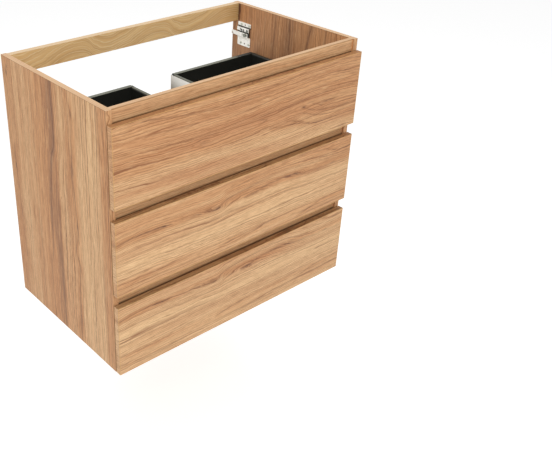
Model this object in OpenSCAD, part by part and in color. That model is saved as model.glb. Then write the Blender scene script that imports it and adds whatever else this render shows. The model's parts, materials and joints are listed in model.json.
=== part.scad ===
// Wall-hung vanity base with three handleless drawers on full-extension runners.
// The top drawer is cut out for the basin's siphon, and two adjustable hangers hold
// the carcass on the wall. +Z is up, the fronts face -Y, and the origin lies under
// the middle of the whole, on the underside.

/* [Cabinet] */
// Width over the side panels
cabinet_w = 800; // [600:10:1200]
// Height of the side panels
cabinet_h = 710; // [660:10:760]
// Depth of the side panels
carcass_d = 467; // [460:1:560]
// Thickness of the carcass boards
board_t = 15; // [15:1:19]

/* [Rails] */
// Height of the front rails
rail_h = 60; // [40:1:80]
// Thickness of the front rails
rail_t = 12; // [12:0.5:19]
// How far the front rails stand back from the panels' front edges
rail_setback = 4.5; // [2:0.5:10]
// Height of the top back rail
back_rail_h = 52; // [45:1:60]
// Height of the bottom back rail
low_back_rail_h = 100; // [60:1:140]
// Thickness of the back rails
back_rail_t = 18.5; // [16:0.5:22]
// How far the back rails stand in from the panels' rear edges
back_rail_inset = 3.5; // [0:0.5:10]

/* [Drawers] */
// Height of a drawer front
front_h = 204; // [180:1:206]
// Thickness of a drawer front
front_t = 16; // [14:1:22]
// Gap between a front and the panels' front edges
buffer_gap = 2.5; // [1:0.5:4]
// Depth of a drawer box behind its front
box_d = 375; // [350:5:400]
// Height of the box rim above the front's lower edge
rim_h = 105; // [95:1:130]
// Thickness of the steel sides
steel_side_t = 13; // [12:0.5:16]
// Thickness of the steel backs
steel_back_t = 13; // [8:1:14]
// Thickness of the base boards
base_t = 12; // [8:1:14]

/* [Siphon cut-out] */
// Clear width between the cut-out's walls
siphon_w = 134; // [120:1:300]
// Depth of the cut-out from the box's back
siphon_d = 231; // [150:1:280]

/* [Hangers] */
// How far the hook tips stand in from the panels' rear edges
hook_inset = 3; // [1:0.5:8]
// Width of a hanger plate
plate_w = 54; // [54:1:70]
// Height of a hanger plate
plate_h = 72; // [72:1:90]

/* [Hidden] */
$fn = 48;

// Levels along Y: fronts' faces, panels' front and rear edges, drawer boxes
overall_d = front_t + buffer_gap + carcass_d;
face_y = -overall_d / 2;
front_back_y = face_y + front_t;
panel_y = front_back_y + buffer_gap;
rear_y = panel_y + carcass_d;
box_back_y = front_back_y + box_d;
rail_y = panel_y + rail_setback;
back_rail_y = rear_y - back_rail_inset - back_rail_t;

// Levels along Z: the three fronts stand one pitch apart
inner_x = cabinet_w / 2 - board_t;
front_lift = 1;
pitch = cabinet_h / 3;
BOTTOM = 0;
MIDDLE = 1;
TOP = 2;
function front_z(level) = front_lift + level * pitch;
mid_rail_drop = 22;
function mid_rail_z(level) = front_z(level) - mid_rail_drop - rail_h / 2;

// Sheet and running gaps of the runners, heights above the front's lower edge
sheet = 1.5;
foot_z = 16;
foot_w = 38;
flange_h = 28;
lip_h = 9;
link_z = foot_z + sheet + 1.5;
link_u = 8;
link_w = 24;
link_h = 10.5;
glide_gap = 0.4;
member_z = link_z + 2;
member_u = link_u - 3.5;
member_w = link_w + 7;
box_z = link_z + link_h + 3;
member_h = box_z - member_z;
runner_start = 2;
runner_len = 370;
link_len = 345;
member_len = 364;

// Steel walls of the boxes: a hollow double wall with rounded shoulders
wall_u = 7;
wall_h = rim_h - box_z;
shoulder_r = 3.5;
skin = 1.2;
box_x = inner_x - wall_u - steel_side_t;
cut_x = siphon_w / 2;
cut_y = box_back_y - siphon_d;
cut_rim_drop = 0.9;
cut_wall_h = wall_h - cut_rim_drop;
cut_lap = 5.3;
back_z = box_z + base_t;
back_h = rim_h - back_z;

// Dowels
dowel_r = 4;
dowel_len = 28;
dowel_bite = 9;
dowel_fit = 0.05;

// Screws
screw_r = 1.75;
screw_head_r = 3.6;
screw_head_t = 1.6;
screw_bite = 11;
screw_fit = 0.05;
drive_r = 1.1;

// Hanger: a plate on the panel, a carriage that slides up and down on it, and the hook
plate_drop = 0.8;
plate_setback = 3.5;
back_rail_z = cabinet_h - back_rail_h;
plate_top_z = back_rail_z - plate_drop;
plate_z = plate_top_z - plate_h;
plate_y = back_rail_y - plate_setback - plate_w;
plate_t = 2;
slide_gap = 0.3;
height_travel = 4;
depth_travel = 6;
carriage_u = plate_t + slide_gap;
carriage_t = 2;
arm_u = carriage_u + carriage_t + slide_gap;
arm_t = 3;
arm_h = 12;
arm_z = plate_z + 29.8;
axis_z = arm_z + arm_h / 2;
tip_y = rear_y - hook_inset;
tail_t = 1.5;
tail_h = 11.5;
apron_t = 1.2;
apron_z = arm_z + arm_h + height_travel + slide_gap;
apron_top_z = apron_z + 11.2;
carriage_y = plate_y + 4.5;
carriage_len = plate_w - 7.5;
carriage_z = arm_z - 3.5;
carriage_h = 19;

// Adjusting screws of the hanger
pivot_r = 2;
pivot_fit = 0.05;
pivot_play = 0.5;
depth_screw_y = plate_y + 19;
depth_head_r = 5;
depth_head_u = 6.5;
depth_head_t = 2.5;
height_screw_y = depth_screw_y - 8;
height_screw_z = axis_z + 13.5;
height_head_r = 3.6;
height_head_t = 1;
height_window_r = 5.2;

wood = "burlywood";
oak = "wheat";
steel = "silver";
dark = "dimgray";

// ---- Frames and profiles ----

// Turns a plan drawn in X and Z into a bar from y0, len long
module along_y(y0, len) {
    translate([0, y0 + len, 0]) rotate([90, 0, 0]) linear_extrude(len) children();
}

// Turns a plan drawn in Y and Z into a bar from x0, len long
module along_x(x0, len) {
    translate([x0, 0, 0]) rotate([90, 0, 90]) linear_extrude(len) children();
}

// Places what is drawn inward from the left panel's inner face, or mirrors it right
module at_side(side) {
    if (side == "left") translate([-inner_x, 0, 0]) children();
    else mirror([1, 0, 0]) translate([-inner_x, 0, 0]) children();
}

// Keeps what is drawn on the right, or mirrors it left
module to_side(side) {
    if (side == "left") mirror([1, 0, 0]) children();
    else children();
}

// A cylinder along X from x0
module rod_x(r, x0, len, y, z) {
    translate([x0, y, z]) rotate([0, 90, 0]) cylinder(r = r, h = len);
}

// Bar section with two rounded top corners
module rounded_bar(w, h, r) {
    square([w, h - r]);
    translate([r, 0]) square([w - 2 * r, h]);
    translate([r, h - r]) circle(r);
    translate([w - r, h - r]) circle(r);
}

// Section of a double steel wall, open below
module wall_section(w, h) {
    difference() {
        rounded_bar(w, h, shoulder_r);
        translate([skin, -skin]) rounded_bar(w - 2 * skin, h, shoulder_r - skin);
    }
}

// Section of a channel that opens downwards
module channel(w, h, t) {
    difference() {
        square([w, h]);
        translate([t, -t]) square([w - 2 * t, h]);
    }
}

// ---- Carcass ----

// Places dowels go in the left panel: [y, z]
dowel_rows = concat(
    [for (z = [cabinet_h - rail_h + 15, cabinet_h - 15]) [rail_y + rail_t / 2, z]],
    [for (level = [MIDDLE, TOP], s = [-15, 15]) [rail_y + rail_t / 2, mid_rail_z(level) + rail_h / 2 + s]],
    [for (z = [back_rail_z + 13, cabinet_h - 13]) [back_rail_y + back_rail_t / 2, z]],
    [for (s = [25, 75]) [back_rail_y + back_rail_t / 2, board_t + s]],
    [for (y = [rail_y + 50, 0, rear_y - 60]) [y, board_t / 2]]
);

// Every dowel of one side, drawn inward from the left panel's inner face
module dowel_set(r, bite, reach) {
    for (p = dowel_rows) rod_x(r, -bite, bite + reach, p[0], p[1]);
}

module dowel_holes(side) {
    at_side(side) dowel_set(dowel_r + dowel_fit, dowel_bite + 0.5, dowel_len - dowel_bite + 0.5);
}

module side_panel(side) {
    color(wood) difference() {
        at_side(side) translate([-board_t, panel_y, 0]) cube([board_t, carcass_d, cabinet_h]);
        dowel_holes(side);
        runner_screw_holes(side);
        hanger_screw_holes(side);
    }
}

// A board between the side panels, drilled for its dowels
module cross_board(y, z, depth, height) {
    difference() {
        translate([-inner_x, y, z]) cube([2 * inner_x, depth, height]);
        dowel_holes("left");
        dowel_holes("right");
    }
}

module bottom_panel() {
    color(wood) cross_board(rail_y, 0, rear_y - back_rail_inset - rail_y, board_t);
}

module top_front_rail() {
    color(wood) cross_board(rail_y, cabinet_h - rail_h, rail_t, rail_h);
}

module mid_front_rail(level) {
    color(wood) cross_board(rail_y, mid_rail_z(level), rail_t, rail_h);
}

module top_back_rail() {
    color(oak) cross_board(back_rail_y, back_rail_z, back_rail_t, back_rail_h);
}

module bottom_back_rail() {
    color(oak) cross_board(back_rail_y, board_t, back_rail_t, low_back_rail_h);
}

module carcass_dowels() {
    color(oak) for (side = ["left", "right"])
        at_side(side) dowel_set(dowel_r, dowel_bite, dowel_len - dowel_bite);
}

// ---- Runners ----

// Where a cabinet member's screws sit along Y
runner_screw_ys = [for (d = [37, 197, 325]) panel_y + d];
runner_screw_up = foot_z + flange_h - 8;

// Cabinet member: wall flange, foot and a low inner lip
module runner_cabinet(level, side) {
    color(steel) at_side(side) translate([0, 0, front_z(level)]) difference() {
        along_y(panel_y + runner_start, runner_len) translate([0, foot_z]) {
            square([sheet, flange_h]);
            square([foot_w, sheet]);
            translate([foot_w - sheet, 0]) square([sheet, lip_h]);
        }
        for (y = runner_screw_ys) rod_x(screw_r + screw_fit, -1, sheet + 2, y, runner_screw_up);
    }
}

// Pan-head screw along X whose head lies on the plane x = 0 and points inwards
module pan_screw(y, z) {
    difference() {
        union() {
            rod_x(screw_r, -screw_bite, screw_bite, y, z);
            rod_x(screw_head_r, 0, screw_head_t, y, z);
        }
        rod_x(drive_r, screw_head_t - 1, 2, y, z);
    }
}

module runner_screws() {
    color(steel) for (side = ["left", "right"], level = [BOTTOM, MIDDLE, TOP], y = runner_screw_ys)
        at_side(side) translate([sheet, 0, front_z(level)]) pan_screw(y, runner_screw_up);
}

module runner_screw_holes(side) {
    at_side(side) for (level = [BOTTOM, MIDDLE, TOP], y = runner_screw_ys)
        rod_x(screw_r + screw_fit, -screw_bite, screw_bite + 1, y, front_z(level) + runner_screw_up);
}

// Link member: rides on the cabinet member on nylon glides and carries the drawer member
module runner_link(level) {
    color(steel) for (side = ["left", "right"]) at_side(side) translate([0, 0, front_z(level)]) {
        along_y(panel_y + runner_start + 4, link_len) translate([link_u, link_z]) channel(link_w, link_h, sheet);
        for (y = [panel_y + 30, panel_y + runner_start + link_len - 60])
            link_glide(y);
    }
}

// Nylon glide in the link member, a little clear of the members above and below
module link_glide(y) {
    low = foot_z + sheet + glide_gap;
    high = box_z - sheet - glide_gap;
    translate([link_u + 3, y, low]) cube([link_w - 6, 40, high - low]);
}

// Drawer member: channel over the link, hooked to the box above it
module runner_drawer(level) {
    color(steel) for (side = ["left", "right"]) at_side(side) translate([0, 0, front_z(level)])
        along_y(front_back_y + 2, member_len) translate([member_u, member_z]) channel(member_w, member_h, sheet);
}

// ---- Drawers ----

module drawer_front(level) {
    color(wood) translate([-cabinet_w / 2, face_y, front_z(level)]) cube([cabinet_w, front_t, front_h]);
}

// Double steel side of a box
module steel_side(level, side) {
    color(dark) at_side(side) translate([wall_u, 0, front_z(level) + box_z])
        along_y(front_back_y, box_d) wall_section(steel_side_t, wall_h);
}

// Brackets: a plate on the front's back and a tongue inside each steel side
module front_brackets(level) {
    tongue = 34;
    plate = 2;
    slack = 0.3;
    color(steel) for (side = ["left", "right"])
        at_side(side) translate([wall_u + skin + slack, front_back_y, front_z(level) + box_z + 6]) {
            cube([steel_side_t - 2 * skin - 2 * slack, plate, wall_h - 14]);
            translate([0, 0, 8]) cube([steel_side_t - 2 * skin - 2 * slack, tongue, wall_h - 30]);
        }
}

module base_board(level) {
    color(dark) translate([0, 0, front_z(level) + box_z]) difference() {
        translate([-box_x, front_back_y, 0]) cube([2 * box_x, box_d, base_t]);
        if (level == TOP) siphon_notch();
    }
}

// Room for the siphon and the walls around it
module siphon_notch() {
    half = cut_x + steel_side_t;
    translate([-half, cut_y - steel_side_t, -1]) cube([2 * half, siphon_d + steel_side_t + 1, base_t + 2]);
}

// Steel back between two X positions: a channel that stands on the base
module steel_back(level, x0, x1) {
    color(dark) translate([0, 0, front_z(level) + back_z])
        along_x(x0, x1 - x0) translate([box_back_y - steel_back_t, 0]) channel(steel_back_t, back_h, skin);
}

// Back beside the cut-out: closed at its end, a little clear of the cut-out's wall
module steel_back_top(side) {
    end_x = cut_x + cut_lap;
    to_side(side) {
        steel_back(TOP, end_x, box_x);
        color(dark) translate([end_x, box_back_y - steel_back_t, front_z(TOP) + back_z])
            cube([skin, steel_back_t, back_h]);
    }
}

// Side wall of the siphon cut-out: its outer skin laps over the end of the back
module cutout_wall(side) {
    lap_short = 1;
    lap_drop = 1.1;
    back_y = box_back_y - steel_back_t;
    color(dark) to_side(side) translate([cut_x, 0, front_z(TOP) + box_z]) {
        along_y(cut_y, back_y - cut_y) wall_section(steel_side_t, cut_wall_h);
        translate([0, back_y - skin, 0]) cube([skin, steel_back_t + skin - lap_short, cut_wall_h - shoulder_r]);
        translate([0, back_y, 0]) cube([skin, steel_back_t - lap_short, cut_wall_h - lap_drop]);
    }
}

module cutout_wall_front() {
    color(dark) translate([0, 0, front_z(TOP) + box_z])
        along_x(-cut_x, 2 * cut_x) translate([cut_y - steel_side_t, 0]) wall_section(steel_side_t, cut_wall_h);
}

// Corner caps where the cut-out's front wall meets its side walls
module cutout_caps() {
    color(dark) for (x0 = [-cut_x - steel_side_t, cut_x])
        translate([x0, cut_y - steel_side_t, front_z(TOP) + box_z])
            linear_extrude(cut_wall_h) rounded_plan(steel_side_t, shoulder_r);
}

// Square plan with rounded corners
module rounded_plan(w, r) {
    translate([r, 0]) square([w - 2 * r, w]);
    translate([0, r]) square([w, w - 2 * r]);
    for (x = [r, w - r], y = [r, w - r]) translate([x, y]) circle(r);
}

// ---- Hangers ----

plate_hole_ys = [plate_y + 5.5, plate_y + 38.5];
plate_hole_zs = [plate_z + 8, plate_top_z - 6.5];
plate_holes = [for (y = plate_hole_ys, z = plate_hole_zs) [y, z]];

module hanger_screw_holes(side) {
    at_side(side) for (p = plate_holes)
        rod_x(screw_r + screw_fit, -screw_bite, screw_bite + 1, p[0], p[1]);
}

// Stamped plate: screw holes, a lower guide, and an upper guide bent out over the carriage
module hanger_plate(side) {
    locating_r = 1.5;
    color(steel) at_side(side) difference() {
        union() {
            along_x(0, plate_t) plate_outline();
            upper_guide();
            lower_guide();
        }
        for (p = plate_holes) rod_x(screw_r + screw_fit, -1, plate_t + 2, p[0], p[1]);
        for (z = plate_hole_zs)
            rod_x(locating_r, -1, plate_t + 2, (plate_hole_ys[0] + plate_hole_ys[1]) / 2 + 1.4, z);
        rod_x(pivot_r + pivot_fit, -1, plate_t + 2, height_screw_y, height_screw_z);
        rod_x(height_window_r, arm_u - 0.1, apron_t + 1, height_screw_y, height_screw_z);
        stamped_slots();
    }
}

// Outline in Y and Z: rounded corners, front edge cut back beside the carriage
module plate_outline() {
    r = 3;
    cutback = 3.7;
    difference() {
        union() {
            translate([plate_y + r, plate_z]) square([plate_w - 2 * r, plate_h]);
            translate([plate_y, plate_z + r]) square([plate_w, plate_h - 2 * r]);
            for (y = [plate_y + r, plate_y + plate_w - r], z = [plate_z + r, plate_top_z - r])
                translate([y, z]) circle(r);
        }
        translate([plate_y - 1, arm_z - 1.5]) square([cutback + 1, apron_top_z - arm_z + 2]);
    }
}

// Short leg out from the plate, then an apron down in front of the carriage
module upper_guide() {
    guide_y = plate_y + 4;
    guide_len = plate_w - 4;
    translate([plate_t - 0.1, guide_y, apron_top_z - sheet])
        cube([arm_u + apron_t - plate_t + 0.1, guide_len, sheet]);
    translate([arm_u, guide_y, apron_z]) cube([apron_t, guide_len, apron_top_z - apron_z]);
}

// Ledge that ends the carriage's way down
module lower_guide() {
    ledge_z = carriage_z - height_travel - slide_gap - sheet;
    translate([plate_t - 0.1, carriage_y, ledge_z]) cube([carriage_t + 0.1, carriage_len, sheet]);
}

// Slots through the upper guide and the plate behind it: one along the bend, two slanting
module stamped_slots() {
    bend_slot = 1.8;
    translate([-1, plate_y + 6.5, apron_top_z]) cube([plate_t + 2, plate_w - 9.5, bend_slot]);
    slanting_slot(depth_screw_y + 16.6, axis_z + 14.5, 23, 10);
    slanting_slot(depth_screw_y + 5.7, axis_z + 11.5, 69, 7);
}

// Slot of the given length about a middle in Y and Z, rising by the angle towards the rear
module slanting_slot(y, z, angle, len) {
    slot_w = 3;
    translate([-1, y, z]) rotate([angle, 0, 0])
        translate([0, -len / 2, -slot_w / 2]) cube([arm_u + apron_t + 2, len, slot_w]);
}

// Carriage: plate behind the arm, lip under it, fork about the height screw
module hanger_carriage(side) {
    lip_u = 2;
    lip_z = 3.1;
    fork_w = 9;
    fork_top_z = apron_top_z - sheet - height_travel - slide_gap;
    color(steel) at_side(side) difference() {
        union() {
            translate([carriage_u, carriage_y, carriage_z]) cube([carriage_t, carriage_len, carriage_h]);
            translate([carriage_u, carriage_y, carriage_z]) cube([carriage_t + lip_u, carriage_len, lip_z]);
            translate([carriage_u, height_screw_y - fork_w / 2, carriage_z])
                cube([carriage_t, fork_w, fork_top_z - carriage_z]);
        }
        rod_x(pivot_r + pivot_fit, 0, arm_u, depth_screw_y, axis_z);
        fork_slot();
    }
}

// Open-topped slot that the height screw's shank stands in
module fork_slot() {
    half = pivot_r + pivot_play;
    translate([0, height_screw_y - half, height_screw_z - height_travel - half])
        cube([arm_u, 2 * half, 20]);
}

// Hook arm: notched tip at the back, thin slotted tail under the depth screw
module hanger_hook(side) {
    half = pivot_r + pivot_play;
    slot_y = depth_screw_y - depth_travel - half;
    slot_end_y = depth_screw_y + depth_travel + half;
    tail_y = slot_y - 2;
    arm_y = slot_end_y + 3;
    color(steel) at_side(side) difference() {
        union() {
            along_x(arm_u, arm_t) arm_outline(arm_y);
            translate([arm_u, tail_y, arm_z]) cube([tail_t, arm_y - tail_y + 1, tail_h]);
        }
        translate([arm_u - 1, slot_y, axis_z - half]) cube([arm_t, slot_end_y - slot_y, 2 * half]);
    }
}

// Side view of the arm, in Y and Z, with a round-shouldered tip and the notch for the wall rail
module arm_outline(arm_y) {
    prong = 2.5;
    notch_w = 4.5;
    notch_h = 6;
    tip_r = 3;
    difference() {
        union() {
            translate([arm_y, arm_z]) square([tip_y - tip_r - arm_y, arm_h]);
            translate([arm_y, arm_z]) square([tip_y - arm_y, arm_h - tip_r]);
            translate([tip_y - tip_r, arm_z + arm_h - tip_r]) circle(tip_r);
        }
        translate([tip_y - prong - notch_w, arm_z - 1]) square([notch_w, notch_h + 1]);
    }
}

// Adjusting screw along X from u0: shank, flat head and a cross recess
module adjust_screw(y, z, u0, head_u, head_r, head_t) {
    cross = 1.1;
    reach = 0.6 * head_r;
    difference() {
        union() {
            rod_x(pivot_r, u0, head_u - u0, y, z);
            rod_x(head_r, head_u, head_t, y, z);
        }
        for (turn = [0, 90]) translate([head_u + head_t / 2, y, z]) rotate([turn, 0, 0])
            translate([0, -reach, -cross / 2]) cube([head_t, 2 * reach, cross]);
    }
}

module height_screw(side) {
    color(steel) at_side(side)
        adjust_screw(height_screw_y, height_screw_z, 0.2, arm_u, height_head_r, height_head_t);
}

module depth_screw(side) {
    color(steel) at_side(side)
        adjust_screw(depth_screw_y, axis_z, plate_t + 0.6, depth_head_u, depth_head_r, depth_head_t);
}

module hanger_plate_screws() {
    color(steel) for (side = ["left", "right"], p = plate_holes)
        at_side(side) translate([plate_t, 0, 0]) pan_screw(p[0], p[1]);
}

side_panel("left");  // side_panel_left
side_panel("right");  // side_panel_right
bottom_panel();
top_front_rail();
mid_front_rail(TOP);  // upper_front_rail
mid_front_rail(MIDDLE);  // lower_front_rail
top_back_rail();
bottom_back_rail();
carcass_dowels();
runner_cabinet(TOP, "left");  // runner_cabinet_top_left
runner_cabinet(TOP, "right");  // runner_cabinet_top_right
runner_cabinet(MIDDLE, "left");  // runner_cabinet_middle_left
runner_cabinet(MIDDLE, "right");  // runner_cabinet_middle_right
runner_cabinet(BOTTOM, "left");  // runner_cabinet_bottom_left
runner_cabinet(BOTTOM, "right");  // runner_cabinet_bottom_right
runner_screws();
hanger_plate("left");  // hanger_plate_left
hanger_plate("right");  // hanger_plate_right
hanger_plate_screws();
hanger_carriage("left");  // hanger_carriage_left
hanger_carriage("right");  // hanger_carriage_right
hanger_hook("left");  // hanger_hook_left
hanger_hook("right");  // hanger_hook_right
height_screw("left");  // height_screw_left
height_screw("right");  // height_screw_right
depth_screw("left");  // depth_screw_left
depth_screw("right");  // depth_screw_right
runner_link(TOP);  // runner_link_top
runner_link(MIDDLE);  // runner_link_middle
runner_link(BOTTOM);  // runner_link_bottom
drawer_front(TOP);  // front_top
drawer_front(MIDDLE);  // front_middle
drawer_front(BOTTOM);  // front_bottom
steel_side(TOP, "left");  // steel_side_top_left
steel_side(TOP, "right");  // steel_side_top_right
steel_side(MIDDLE, "left");  // steel_side_middle_left
steel_side(MIDDLE, "right");  // steel_side_middle_right
steel_side(BOTTOM, "left");  // steel_side_bottom_left
steel_side(BOTTOM, "right");  // steel_side_bottom_right
front_brackets(TOP);  // front_brackets_top
front_brackets(MIDDLE);  // front_brackets_middle
front_brackets(BOTTOM);  // front_brackets_bottom
runner_drawer(TOP);  // runner_drawer_top
runner_drawer(MIDDLE);  // runner_drawer_middle
runner_drawer(BOTTOM);  // runner_drawer_bottom
base_board(TOP);  // base_top
base_board(MIDDLE);  // base_middle
base_board(BOTTOM);  // base_bottom
steel_back_top("left");  // steel_back_top_left
steel_back_top("right");  // steel_back_top_right
steel_back(MIDDLE, -box_x, box_x);  // steel_back_middle
steel_back(BOTTOM, -box_x, box_x);  // steel_back_bottom
cutout_wall("left");  // cutout_wall_left
cutout_wall("right");  // cutout_wall_right
cutout_wall_front();
cutout_caps();
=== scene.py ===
"""Looks of a wall-hung vanity base: printed wood decor, coated steel drawer boxes,
galvanised runners and nickel-plated hangers, on a pale studio floor."""

import json
import math
from functools import reduce

import bpy
from mathutils import Matrix, Vector

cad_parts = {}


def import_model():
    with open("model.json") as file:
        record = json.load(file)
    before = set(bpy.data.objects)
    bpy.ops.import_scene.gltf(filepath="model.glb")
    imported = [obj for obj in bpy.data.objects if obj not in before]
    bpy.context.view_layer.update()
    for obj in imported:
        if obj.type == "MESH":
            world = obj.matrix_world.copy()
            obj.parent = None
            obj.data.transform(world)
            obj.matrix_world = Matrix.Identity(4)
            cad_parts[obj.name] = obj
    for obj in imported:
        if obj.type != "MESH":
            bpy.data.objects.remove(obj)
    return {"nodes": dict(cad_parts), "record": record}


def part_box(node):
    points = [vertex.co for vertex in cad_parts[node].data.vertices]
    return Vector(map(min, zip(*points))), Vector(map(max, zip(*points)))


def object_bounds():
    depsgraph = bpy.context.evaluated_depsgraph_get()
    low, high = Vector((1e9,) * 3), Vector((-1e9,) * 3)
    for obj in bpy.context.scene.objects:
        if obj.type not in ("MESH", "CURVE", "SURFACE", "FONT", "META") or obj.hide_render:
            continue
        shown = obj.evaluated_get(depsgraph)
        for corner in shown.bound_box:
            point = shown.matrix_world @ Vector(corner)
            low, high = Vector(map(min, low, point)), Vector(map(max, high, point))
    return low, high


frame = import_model()
cad_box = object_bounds()

# ---- Camera and studio, metres ----

EYE = (-1.261, -1.53475, 1.367)
TURN_DEG = -37.70
TILT_DEG = 29.06
ROLL_DEG = -0.17
LENS_MM = 52.4
SENSOR_MM = 36.0
SHIFT = (0.2042, -0.0517)
VIEW_REACH = 200.0
FLOOR_DROP = 0.45
FLOOR_SIZE = 40.0
FLOOR_WHITE = 0.86
FLOOR_LIFT = 0.45
ROOM_LIGHT = 0.56
LAMP_AIM = (0, 0, 0.35)
LAMPS = (                     # name, place, size, watts
    ("key", (-1.8, -2.4, 2.6), (2.2, 1.6), 55),
    ("top", (0.3, 0.4, 3.0), (2.5, 2.5), 30))

X, Y, Z = 0, 1, 2
MM = 0.001
WHITE = (1.0, 1.0, 1.0, 1.0)


def srgb(red, green, blue):
    """A colour given as 0-255 display values, as linear RGBA."""
    def linear(value):
        value /= 255.0
        return value / 12.92 if value <= 0.04045 else ((value + 0.055) / 1.055) ** 2.4
    return (linear(red), linear(green), linear(blue), 1.0)


# ---- Shader values that add, multiply and compare as plain numbers do ----

class Value:
    """A float socket of a node tree."""

    def __init__(self, net, socket):
        self.net = net
        self.socket = socket

    def __add__(self, other):
        return self.net.math("ADD", self, other)

    def __radd__(self, other):
        return self.net.math("ADD", other, self)

    def __sub__(self, other):
        return self.net.math("SUBTRACT", self, other)

    def __rsub__(self, other):
        return self.net.math("SUBTRACT", other, self)

    def __mul__(self, other):
        return self.net.math("MULTIPLY", self, other)

    def __truediv__(self, other):
        return self.net.math("DIVIDE", self, other)

    def __neg__(self):
        return self.net.math("MULTIPLY", self, -1.0)

    def power(self, exponent):
        return self.net.math("POWER", self, exponent)

    def exponent(self):
        return self.net.math("EXPONENT", self)

    def absolute(self):
        return self.net.math("ABSOLUTE", self)

    def fraction(self):
        return self.net.math("FRACT", self)

    def clamped(self):
        return self.net.math("ADD", self, 0.0, clamp=True)

    def least(self, other):
        return self.net.math("MINIMUM", self, other)

    def most(self, other):
        return self.net.math("MAXIMUM", self, other)


def highest(values):
    """The highest of several shader values."""
    return reduce(Value.most, values)


class Net:
    """The node tree of a material or a world, with short calls for the nodes used here."""

    def __init__(self, owner):
        owner.use_nodes = True
        self.owner = owner
        self.nodes = owner.node_tree.nodes
        self.links = owner.node_tree.links
        self.nodes.clear()
        self.coords = None

    def plug(self, socket, value):
        """Sets or links an input."""
        if isinstance(value, Value):
            self.links.new(value.socket, socket)
        elif isinstance(value, bpy.types.NodeSocket):
            self.links.new(value, socket)
        else:
            socket.default_value = value

    def node(self, kind, inputs=None, **settings):
        made = self.nodes.new("ShaderNode" + kind)
        for key, value in settings.items():
            setattr(made, key, value)
        for key, value in (inputs or {}).items():
            self.plug(made.inputs[key], value)
        return made

    def math(self, operation, *values, clamp=False):
        made = self.node("Math", dict(enumerate(values)), operation=operation, use_clamp=clamp)
        return Value(self, made.outputs[0])

    def axes(self, kind):
        """Object coordinates, in metres, or the surface's normal, as three values."""
        if self.coords is None:
            self.coords = self.node("TexCoord")
        split = self.node("SeparateXYZ", {"Vector": self.coords.outputs[kind]})
        return [Value(self, output) for output in split.outputs]

    def noise(self, x, y, z=0.0, detail=2.0, rough=0.5, scale=1.0):
        """Perlin noise, about 0.5, at a point made of three values."""
        point = self.node("CombineXYZ", {"X": x, "Y": y, "Z": z})
        made = self.node("TexNoise", {
            "Vector": point.outputs[0], "Scale": scale, "Detail": detail, "Roughness": rough})
        return Value(self, made.outputs["Fac"])

    def ramp(self, value, low, high):
        """0 below low, 1 above high, smooth between."""
        made = self.node("MapRange", {
            "Value": value, "From Min": low, "From Max": high}, interpolation_type="SMOOTHSTEP")
        return Value(self, made.outputs[0])

    def facing(self, normal, way=1.0):
        """1 on faces that look along a normal's axis, or against it, else 0."""
        return self.ramp(normal, 0.7 * way, 0.9 * way)

    def curve(self, value, points):
        """A smooth curve through points in the unit square."""
        made = self.node("FloatCurve", {"Value": value})
        made.mapping.extend = "HORIZONTAL"
        line = made.mapping.curves[0]
        line.points[0].location = points[0]
        line.points[1].location = points[-1]
        for point in points[1:-1]:
            line.points.new(*point)
        made.mapping.update()
        return Value(self, made.outputs[0])

    def mix(self, first, second, factor):
        """A colour between two colours."""
        made = self.node("Mix", {"Factor": factor, "A": first, "B": second}, data_type="RGBA")
        return made.outputs["Result"]

    def tinted(self, colour, tint, factor):
        """A colour multiplied by a tint."""
        made = self.node("Mix", {"Factor": factor, "A": colour, "B": tint}, data_type="RGBA")
        made.blend_type = "MULTIPLY"
        return made.outputs["Result"]

    def bump(self, height, distance, strength):
        made = self.node("Bump", {"Height": height, "Distance": distance, "Strength": strength})
        return made.outputs["Normal"]

    def end(self, kind, shader):
        """Leads a shader into the output and returns the finished material or world."""
        self.node("Output" + kind, {"Surface": shader.outputs[0]})
        return self.owner

    def finish(self, **inputs):
        """The principled shader, with inputs named by their sockets (_ for a space)."""
        named = {key.replace("_", " "): value for key, value in inputs.items()}
        return self.end("Material", self.node("BsdfPrincipled", named))


def material_net(name):
    return Net(bpy.data.materials.new(name))


# ---- Printed wood decor ----

# A figure is what is printed on a board, in millimetres: along the grain from the board's left or
# top end, and across it from its top or back edge.

LIGHT_TAN = srgb(249, 208, 158)
WARM_TAN = srgb(222, 165, 115)
GREY_BROWN = srgb(170, 127, 94)
RED_BROWN = srgb(198, 134, 90)
LINE_BROWN = srgb(146, 90, 56)
VEIN_BROWN = srgb(112, 78, 58)
STRAND_LIGHT = srgb(246, 206, 156)
EDGE_LIGHT = srgb(210, 174, 135)
EDGE_DARK = srgb(188, 146, 107)
BAND_LINE = srgb(216, 170, 104)
JOINT_LINE = srgb(138, 98, 58)

STRAND_TINT = (0.82, 0.77, 0.72, 1.0)
FIBRE_TINT = (0.84, 0.80, 0.76, 1.0)
PORE_TINT = (0.72, 0.66, 0.60, 1.0)
# Painted shade and painted deep shade, for places the fronts and hanger plates cover
SHADE_TINT = (0.55, 0.51, 0.45, 1.0)
HIDDEN_TINT = (0.16, 0.12, 0.09, 1.0)

# Noise cycles a metre, along and across the grain

BROAD = (0.9, 15.0)
DRIFT = (0.8, 22.0)
FADE = (1.3, 42.0)
REDDISH = (1.4, 26.0)
STREAK = (3.0, 62.0)
STRAND = (16.0, 210.0)
MARK = (24.0, 300.0)
FIBRE = (38.0, 400.0)
PORES = (70.0, 1100.0)
SWAY = (2.2, 7.0)
RIPPLE = (13.0, 36.0)
JAG = (50.0, 150.0)
WOBBLE = (14.0, 60.0)
BAND_GRAIN = (6.0, 700.0)

# How far the bends reach, in metres

SWAY_REACH = 0.026
RIPPLE_REACH = 0.009
JAG_REACH = 0.0022
WOBBLE_REACH = 0.006
WOBBLE_JAG_REACH = 0.0042

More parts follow.
